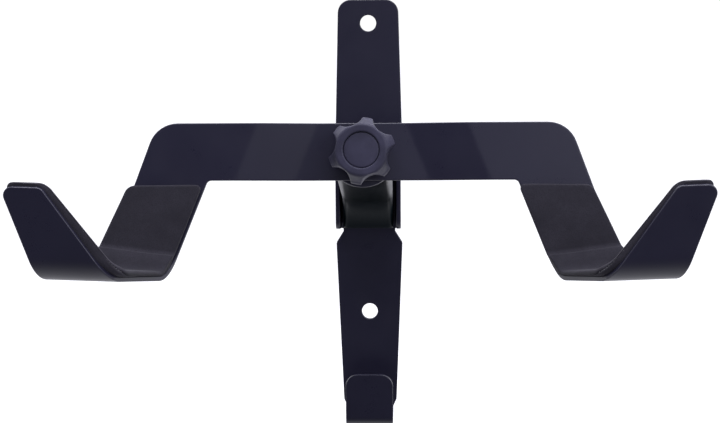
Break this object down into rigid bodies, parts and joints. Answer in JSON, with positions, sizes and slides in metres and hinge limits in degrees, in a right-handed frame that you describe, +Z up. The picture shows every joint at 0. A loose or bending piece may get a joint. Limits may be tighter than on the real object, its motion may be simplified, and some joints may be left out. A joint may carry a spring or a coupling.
{
  "type": "bicycle wall rack",
  "caption": "Wall-mounted bicycle rack: a plate with a folding arm, a clamped cradle with padded hooks for the top tube, a star knob and a helmet hook.",
  "frame": {"origin": "on the wall plane, halfway between the two screw holes", "axes": "+Y into the wall, +Z up, +X to the right as seen by someone facing the wall"},
  "size_m": [0.39, 0.236, 0.291],
  "materials": {
    "black_steel": "satin powder coat",
    "foam": "matte closed-cell foam",
    "knob_plastic": "satin moulded",
    "zinc_steel": "zinc plated",
    "brass": "turned",
    "nylon": "moulded"
  },
  "bodies": {
    "wall_bracket": {"wall_plate": "black_steel", "hinge_bolt": "zinc_steel", "bolt_washer": "zinc_steel", "nut_washer": "zinc_steel", "hinge_nut": "zinc_steel", "hinge_shim_left": "nylon", "hinge_shim_right": "nylon"},
    "arm": {"arm": "black_steel", "hinge_sleeve": "zinc_steel", "head_plate": "black_steel", "clamp_bolt": "zinc_steel", "friction_disc": "knob_plastic"},
    "cradle": {"cradle": "black_steel", "pad_left": "foam", "pad_right": "foam"},
    "clamp_washer": {"clamp_washer": "zinc_steel"},
    "star_knob": {"knob": "knob_plastic", "knob_insert": "brass", "knob_cap": "knob_plastic"}
  },
  "joints": [
    {"name": "arm_fold", "type": "hinge", "parent": "wall_bracket", "child": "arm", "pos_m": [0, -0.02, 0.006], "axis": [-1, 0, 0], "range_deg": [0, 70]},
    {"name": "cradle_tilt", "type": "hinge", "parent": "arm", "child": "cradle", "pos_m": [0, -0.15, 0.025], "axis": [0, -0.989, 0.1478], "range_deg": [-30, 30]},
    {"name": "knob_travel", "type": "slide", "parent": "arm", "child": "clamp_washer", "axis": [0, -0.989, 0.1478], "range_m": [0, 0.0025]},
    {"name": "knob_spin", "type": "hinge", "parent": "clamp_washer", "child": "star_knob", "pos_m": [0, -0.15, 0.025], "axis": [0, -0.989, 0.1478], "range_deg": [0, 720]}
  ],
  "couplings": [
    {"joint": "knob_spin", "follows": "knob_travel", "rad_per_m": 5026.5}
  ]
}
